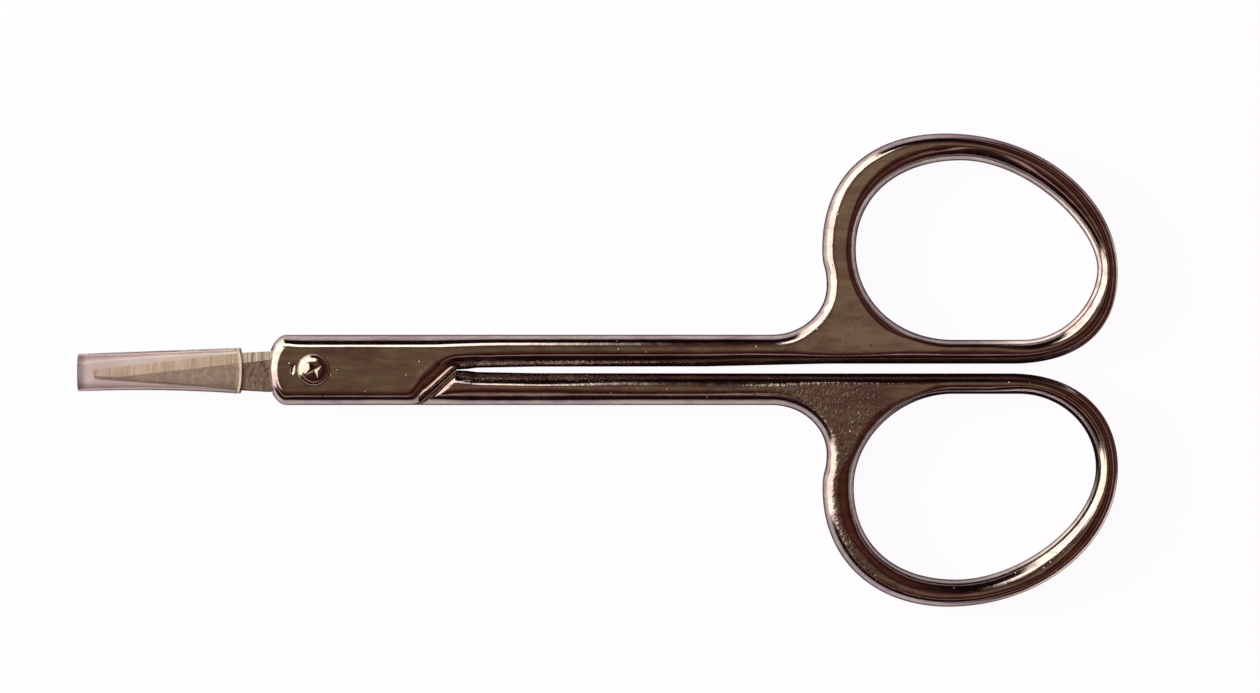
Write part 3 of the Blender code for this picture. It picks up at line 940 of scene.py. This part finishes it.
# %% The tube and its lip
guard_plastic, tree, shader = new_material("clear_plastic")
place = object_place(tree)
along, across, _ = axes_of(place)
# The ramp yellows the tube a little along its length, and its first stops darken the cut end: painted shade.
tint_and_end_shade = banded(along.ranged(pivot_x - tube_end, pivot_x - tube_mouth), (
    (0.0, (0.34, 0.30, 0.31)), (0.008, (0.46, 0.41, 0.42)), (0.05, (0.91, 0.84, 0.83)),
    (0.50, (0.98, 0.93, 0.88)), (1.0, (0.99, 0.94, 0.88))))
milk = banded(noise(place, 260.0, 3.0), ((0.35, (0.90, 0.88, 0.88)), (0.70, (1.0, 1.0, 1.0))))
# Darker where the tube is seen edge-on, by Facing: partly the longer path through the wall, partly painted
# shade.
outline = banded(wired(tree, "ShaderNodeLayerWeight", 0.5, output="Facing"), (
    (0.06, (1.0, 1.0, 1.0)), (0.40, (0.76, 0.66, 0.67)),
    (0.75, (0.44, 0.38, 0.40)), (0.92, (0.26, 0.24, 0.26))))
tint = blended(blended(tint_and_end_shade, milk), outline)
# Painted shade: the tube's lower side, towards -Y, is tinted darker.
tint = blended(tint, (0.84, 0.82, 0.82, 1), across.ranged(-0.0010, -0.0015))
fed(shader, {"Base Color": tint, "Roughness": 0.07, "IOR": 1.40, "Transmission Weight": 0.89})
relieved(shader, noise(place, 700.0), 0.25, 0.00006)
print("plastic nodes", len(tree.nodes))

lip_plastic, tree, shader = new_material("clear_plastic_lip")
# Painted highlight: the lip's cream tint stands in for light carried along the wall to its cut edge.
tint = banded(noise(object_place(tree), 1500.0), ((0.35, (0.74, 0.62, 0.48)), (0.65, (0.92, 0.80, 0.64))))
fed(shader, {"Base Color": tint, "Roughness": 0.25, "IOR": 1.40, "Transmission Weight": 0.25})
guard = make_tube("tip_guard_tube", tube_sizes, guard_plastic)
lip = make_tube("tip_guard_lip", lip_sizes, lip_plastic)

# %% [markdown]
# ## Plated and ground metal
#
# Polished plate is a mirror: what it shows is its surroundings, so its own colour only tints them. What
# makes it look like metal and not like chrome in a drawing is the small damage: faint ripples left by
# the polishing wheel, a pebbled skin where the casting was rough, above all in the gap between the
# shanks, single pits, and cloudy patches. Three materials need these, so they are one node group with
# its own values in each.

# %% The group of polishing marks
mark_inputs = (
    "Ripple Scale", "Ripple Depth", "Pebble Scale", "Pebble Depth", "Gap Depth", "Pit Scale", "Pit Depth")
mark_results = ("Height", "Pits", "Cloud")


def surface_marks():
    """A shader group: ripples, pebbles, pits and clouds on Object coordinates."""
    group, given = new_group("surface_marks", "ShaderNodeTree", floats(mark_inputs), floats(mark_results))
    place = object_place(group)
    along, across, up = axes_of(place)
    ripples = noise(place, given["Ripple Scale"]) * given["Ripple Depth"]

    # Pebbles: on the flat of the web, hardly on the rounded edges, and besides in the gap.
    web = along.ranged(0.008, 0.018, 0.08, 1.0) * along.ranged(0.026, 0.034, 1.0, 0.12)
    flat = abs(up - thickness / 2).ranged(0.00148, 0.00158, 0.08, 1.0)
    gap = abs(across).ranged(0.0011, 0.0009) * along.ranged(-0.002, 0.008, 1.0, 0.0)
    gap = gap * along.ranged(-0.0135, -0.0125) * given["Gap Depth"]
    pebbles = noise(place, given["Pebble Scale"], 4.0) * (gap + given["Pebble Depth"] * web * flat)

    # Pits: small round dents in one cell out of five.
    cell = fed(joined(group, "ShaderNodeTexVoronoi", place), {"Scale": given["Pit Scale"]}).outputs
    small = (Wire(cell["Distance"]) * 6.5).math("SMOOTH_MIN", 1.0, 0.2)
    rare = wired(group, "ShaderNodeSeparateColor", Wire(cell["Color"])).math("GREATER_THAN", 0.80)
    pits = (1.0 - small) * rare
    height = pebbles + ripples - pits * given["Pit Depth"]

    # Clouds: two noises drawn out along the handle.
    drawn = stretched(place, (0.28, 1.0, 1.0))
    cloud = run_between(noise(drawn, 750.0, 4.0), noise(drawn, 2300.0, 4.0), 0.42)
    fed(joined(group, "NodeGroupOutput"), dict(zip(mark_results, (height, pits, cloud))))
    return group


marks = surface_marks()
print("marks", len(marks.nodes), "nodes")

# %% Plate and screw metal
def plated(name, dark, light, roughness, values):
    """A polished metal whose tint, gloss and relief come from the marks."""
    material, tree, shader = new_material(name)
    group = fed(joined(tree, "ShaderNodeGroup", node_tree=marks), dict(zip(mark_inputs, values)))
    height, pits, cloud = (Wire(group.outputs[result]) for result in mark_results)
    fed(shader, {
        "Base Color": banded(cloud, ((0.38, dark), (0.62, light))), "Metallic": 1.0,
        "Roughness": pits * 0.3 + cloud.ranged(0.3, 0.75, *roughness),
        "Specular Tint": (0.66, 0.60, 0.66, 1)})
    relieved(shader, height, 1.0, 0.0001)
    return material


# The last row of numbers in each is in the order of the group's inputs.
front_plate = plated(
    "front_plate", (0.44, 0.342, 0.366), (0.66, 0.612, 0.566), (0.07, 0.13),
    (800.0, 0.11, 3400.0, 0.12, 0.60, 1500.0, 0.25))
rear_plate = plated(
    "rear_plate", (0.43, 0.332, 0.356), (0.64, 0.592, 0.546), (0.08, 0.15),
    (1000.0, 0.13, 3900.0, 0.62, 0.75, 1500.0, 0.3))
screw_metal = plated(
    "screw_metal", (0.50, 0.43, 0.40), (0.60, 0.52, 0.48), (0.08, 0.15),
    (1500.0, 0.04, 7000.0, 0.012, 0.0, 2500.0, 0.2))
print("metals", front_plate.name, rear_plate.name, screw_metal.name)

# %% [markdown]
# ## Ground steel
#
# The blades were drawn across a grinding wheel, so their scratches run across them. A noise squeezed
# along the blade and stretched across it gives such streaks, for the tint, the gloss and the relief.
# The flats, which wore since, have more of a plain grain, and the bevel shows the streaks alone. The
# bevel's tint is lighter than the flats', partly for its fresh grind and partly as a painted highlight,
# and the bare steel between the guard and the boss is painted darker, as painted shade.

# %% Satin blade steel
heel_shade_run = (pivot_x - 0.0078, pivot_x - 0.0070)


def ground_steel():
    """Satin steel with grinding marks across the blade."""
    material, tree, shader = new_material("ground_steel")
    place = object_place(tree)
    coarse = noise(stretched(place, (1300.0, 130.0, 130.0)), 1.0)
    streaks = noise(stretched(place, (5200.0, 260.0, 260.0)), 1.0, 3.0) * 0.6 + coarse * 0.4
    slanted = wired(tree, "ShaderNodeAttribute", attribute_name="slanted", output="Fac")
    mixed = run_between(streaks * 0.3 + noise(place, 2200.0, 4.0) * 0.7, streaks, slanted)
    # The bevel's ramp is lighter than the flat's: partly its fresh grind, partly a painted highlight.
    bevel = banded(mixed, ((0.38, (0.53, 0.46, 0.40)), (0.60, (0.93, 0.83, 0.72))))
    flat = banded(mixed, ((0.38, (0.445, 0.34, 0.30)), (0.62, (0.68, 0.54, 0.47))))
    steel = blended(flat, bevel, slanted, "MIX")
    # Painted shade: the bare steel between the guard's mouth and the boss is multiplied darker.
    steel = blended(steel, (0.64, 0.64, 0.66, 1), axes_of(place)[0].ranged(*heel_shade_run))
    fed(shader, {"Base Color": steel, "Metallic": 1.0, "Roughness": coarse.ranged(0.3, 0.7, 0.27, 0.42)})
    relieved(shader, mixed, 1.0, 0.00006)
    return material


blade_steel = ground_steel()
print("steel nodes", len(blade_steel.node_tree.nodes))

# %% Give every piece its finish and its body
pieces = [
    (front_handle, front_plate, "front_handle", "front_half", "plated_metal"),
    (rear_handle, rear_plate, "rear_handle", "rear_half", "plated_metal"),
    (front_blade, blade_steel, "front_blade", "front_half", "blade_steel"),
    (rear_blade, blade_steel, "rear_blade", "rear_half", "blade_steel"),
    (beads, rear_plate, "rear_handle", "rear_half", "plated_metal"),
    (screw, screw_metal, "pivot_screw", "rear_half", "screw_metal"),
    (guard, guard_plastic, "tip_guard", "tip_guard", "clear_plastic"),
    (lip, lip_plastic, "tip_guard", "tip_guard", "clear_plastic"),
]
for piece, material, node, body, slot in pieces:
    piece.data.materials.clear()
    piece.data.materials.append(material)
    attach(piece, body)
    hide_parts(node)
    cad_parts[node].data.materials.clear()
    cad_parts[node].data.materials.append(material)
print("pieces", [piece.name for piece, *_ in pieces])

# %% [markdown]
# ## Table
#
# A mirror needs something to mirror. The floor is a plain white table. Through Light Path it glows
# white to the camera. It glows a dimmer pink to rays that went through the guard, as painted shade under
# it, and is a glossy paper with the object's shadow to all other rays. The plated edges look outwards
# at it, so for glossy rays it carries painted light and shade. Its white glow fades out close to the
# metal, a painted contact shadow. A painted warm glow lies in the rings and before the boss, and a
# painted dark glow lies beyond the rings. Painted shadow lies close under the metal, where an Ambient
# Occlusion node finds it, and inside the lower ring under its bar.

# %% White table
table_form = bmesh.new()
bmesh.ops.create_grid(table_form, x_segments=1, y_segments=1, size=3.0)
table = from_form("table", table_form, False)
table.location.z = -0.00002
show(table)


def glowing(tree, colour, strength=1.0):
    """An Emission shader."""
    return wired(tree, "ShaderNodeEmission", colour, strength)


def covered(share, below, above):
    """One shader over another, by a Mix Shader."""
    return wired(share.tree, "ShaderNodeMixShader", share, below, above)


table_white, tree, paper = new_material("table_white")
fed(paper, {"Base Color": (0.80, 0.76, 0.83, 1), "Roughness": 0.15, "IOR": 1.7})
path = joined(tree, "ShaderNodeLightPath").outputs
glossy, through = Wire(path["Is Glossy Ray"]), Wire(path["Is Transmission Ray"])
# Painted contact shadow: to glossy rays the white glow fades out close to the metal.
seen_white = glossy * Wire(path["Ray Length"]).ranged(0.0018, 0.0030, 0.0, 0.26)
seen_white = seen_white.math("MAXIMUM", Wire(path["Is Camera Ray"])).math("MAXIMUM", through * 0.80)
# Painted shade under the guard: rays through it see a dimmer, pinker glow.
white = blended((1.0, 0.98, 1.0, 1), (1.0, 0.90, 0.91, 1), through, "MIX")
surface = covered(seen_white * 0.93, Wire(paper.outputs[0]), glowing(tree, white, 1.03))
mirrored = glossy * (1.0 - through)
print("table", table_white.name)

# %% What the metal sees on the table
ring_centre, ring_half = (0.0362, 0.0118), (0.0143, 0.0112)
along, across, _ = axes_of(wired(tree, "ShaderNodeNewGeometry", output="Position"))
aside, from_ring = abs(across), along - ring_centre[0]
reach = (from_ring / ring_half[0]) ** 2.0 + ((aside - ring_centre[1]) / ring_half[1]) ** 2.0
beyond = reach.ranged(1.35, 1.75)
within = 1.0 - beyond

over_middle = across - across.math("SIGN") * ring_centre[1]
in_ring = within * from_ring.ranged(0.001, 0.008) * over_middle.ranged(0.003, -0.001)
by_boss = along.ranged(-0.0320, -0.0332) * aside.ranged(0.0060, 0.0035)
# Painted light: a warm glow, seen only in reflections, in the rings and before the boss.
painted_light_patch = in_ring.math("MAXIMUM", by_boss) * mirrored
surface = covered(painted_light_patch, surface, glowing(tree, (1.0, 0.92, 0.83, 1), 2.1))

# Painted shade: a dark glow, seen only in reflections, beyond the rings.
painted_shade_beyond = beyond * from_ring.ranged(-0.002, 0.007) * mirrored
surface = covered(painted_shade_beyond, surface, glowing(tree, (0.10, 0.03, 0.018, 1)))

# Painted shadow, seen only in reflections: dark where Ambient Occlusion finds metal close by, and inside the
# lower ring under its bar.
close = joined(tree, "ShaderNodeAmbientOcclusion", samples=6)
fed(close, {"Distance": 0.0036, "Normal": (0.0, 0.94, 0.33)})
under_bar = across.ranged(-0.0125, -0.0095) * across.ranged(-0.0010, -0.0014)
under_bar = under_bar * from_ring.ranged(-0.0075, -0.0035) * within
shade = Wire(close.outputs["AO"]).ranged(0.96, 0.72).math("MAXIMUM", under_bar) * mirrored
surface = covered(shade, surface, glowing(tree, (0.020, 0.010, 0.010, 1)))
feed(tree.nodes["Material Output"].inputs["Surface"], surface)
table.data.materials.append(table_white)
print("table nodes", len(tree.nodes))

# %% [markdown]
# ## Room and lamps
#
# Above the horizon the metal shows a dim room: a lilac band low down, dark walls, one paler band on the
# near side, and a warm ceiling. Each side is a Color Ramp over height, and the sides are blended by
# direction. Four soft lamps on the left and behind stand in it and are seen in the metal. A key lamp
# overhead and a fill lamp light the paper alone, and don't show as spots in the mirrors.

# %% Room
room = bpy.data.worlds.new("room")
bpy.context.scene.world = room
room.use_nodes = True
tree = room.node_tree
rightward, backward, up = axes_of(wired(tree, "ShaderNodeTexCoord", output="Generated"))
lilac, black, ceiling = (0.30, 0.25, 0.28), (0.006, 0.002, 0.002), (0.26, 0.18, 0.115)
horizon, warm_dusk = ((0.0, lilac), (0.10, lilac)), (0.24, 0.165, 0.105)
near_side = (
    *horizon, (0.15, black), (0.60, (0.03, 0.010, 0.008)), (0.655, (0.50, 0.33, 0.30)),
    (0.70, (0.47, 0.30, 0.28)), (0.755, (0.04, 0.010, 0.007)), (0.86, (0.045, 0.012, 0.008)),
    (0.95, (0.09, 0.04, 0.028)), (0.985, (0.17, 0.11, 0.07)), (0.996, warm_dusk), (1.0, ceiling))
far_side = (
    *horizon, (0.15, black), (0.70, (0.012, 0.004, 0.003)), (0.86, (0.05, 0.022, 0.016)),
    (0.95, (0.14, 0.08, 0.055)), (0.985, warm_dusk), (0.996, (0.27, 0.19, 0.12)), (1.0, ceiling))
right_side = (
    *horizon, (0.16, (0.08, 0.03, 0.015)), (0.30, (0.035, 0.008, 0.004)), (0.50, (0.10, 0.035, 0.022)),
    (0.66, (0.13, 0.048, 0.034)), (0.80, (0.03, 0.010, 0.008)), (0.93, (0.06, 0.02, 0.016)),
    (0.985, (0.18, 0.11, 0.09)), (0.996, warm_dusk), (1.0, ceiling))
near, far, right = (banded(up, bands) for bands in (near_side, far_side, right_side))
colour = blended(near, far, backward.ranged(-0.12, 0.12), "MIX")
colour = blended(colour, right, rightward.ranged(0.10, 0.45), "MIX")
overhead_left = up.ranged(0.90, 0.985) * rightward.ranged(-0.012, 0.030, 1.0, 0.0)
colour = blended(colour, (0.66, 0.63, 0.61, 1), overhead_left)
fed(tree.nodes["Background"], {"Color": colour, "Strength": 1.0})
print("room nodes", len(tree.nodes))


# %% Lamps
def lamp_face():
    """A shader group for a lamp: full in the middle, fading at its borders."""
    group, given = new_group("soft_lamp_face", "ShaderNodeTree", floats(["Border"]), floats(["Strength"]))
    long_way, short_way, _ = (
        (0.5 - abs(place - 0.5)).ranged(0.0, given["Border"], interpolation_type="SMOOTHSTEP")
        for place in axes_of(wired(group, "ShaderNodeNewGeometry", output="Parametric")))
    joined(group, "NodeGroupOutput", long_way * short_way)
    return group


face = lamp_face()


def soft_lamp(name, place, target, size, radiance, colour, border, in_mirrors):
    """A rectangular lamp given by how bright its face looks."""
    data = bpy.data.lights.new(name, "AREA")
    data.shape, data.size, data.size_y = "RECTANGLE", *size
    data.energy = radiance * pi * size[0] * size[1]
    data.color = colour
    data.use_nodes = True
    strength = wired(data.node_tree, "ShaderNodeGroup", node_tree=face)
    fed(strength.socket.node, {"Border": border})
    fed(data.node_tree.nodes["Emission"], {"Strength": strength})
    lamp = bpy.data.objects.new(name, data)
    lamp.location = place
    lamp.rotation_euler = (Vector(place) - Vector(target)).to_track_quat("Z", "Y").to_euler()
    lamp.visible_camera = False
    lamp.visible_glossy = lamp.visible_transmission = in_mirrors
    show(lamp)
    return lamp


centre, warm = (0.0, 0.0, 0.0), (1.0, 0.90, 0.76)
# Name, place, target, size, radiance, colour, border, and whether mirrors show it.
lamps = [soft_lamp(*row) for row in (
    ("left_lamp", (-0.44, 0.06, 0.12), centre, (0.50, 0.52), 2.2, warm, 0.15, True),
    ("corner_lamp", (-0.27, 0.30, 0.12), (0.0, 0.02, 0.0), (0.34, 0.52), 2.0, warm, 0.15, True),
    ("back_lamp", (-0.117, 0.150, 0.205), (-0.117, 0, 0), (0.25, 0.09), 2.5, (1.0, 0.93, 0.82), 0.12, True),
    ("upper_lamp", (-0.26, 0.05, 0.40), centre, (0.30, 0.30), 2.0, (1.0, 0.90, 0.74), 0.12, True),
    ("key_lamp", (0.02, -0.04, 0.70), centre, (0.60, 0.60), 0.8, (1.0, 0.98, 0.96), 0.15, False),
    ("fill_lamp", (-1.0, 0.08, 0.34), centre, (0.50, 0.25), 40.0, (1.0, 0.97, 0.95), 0.15, False),
)]
print("lamps", [lamp.name for lamp in lamps])
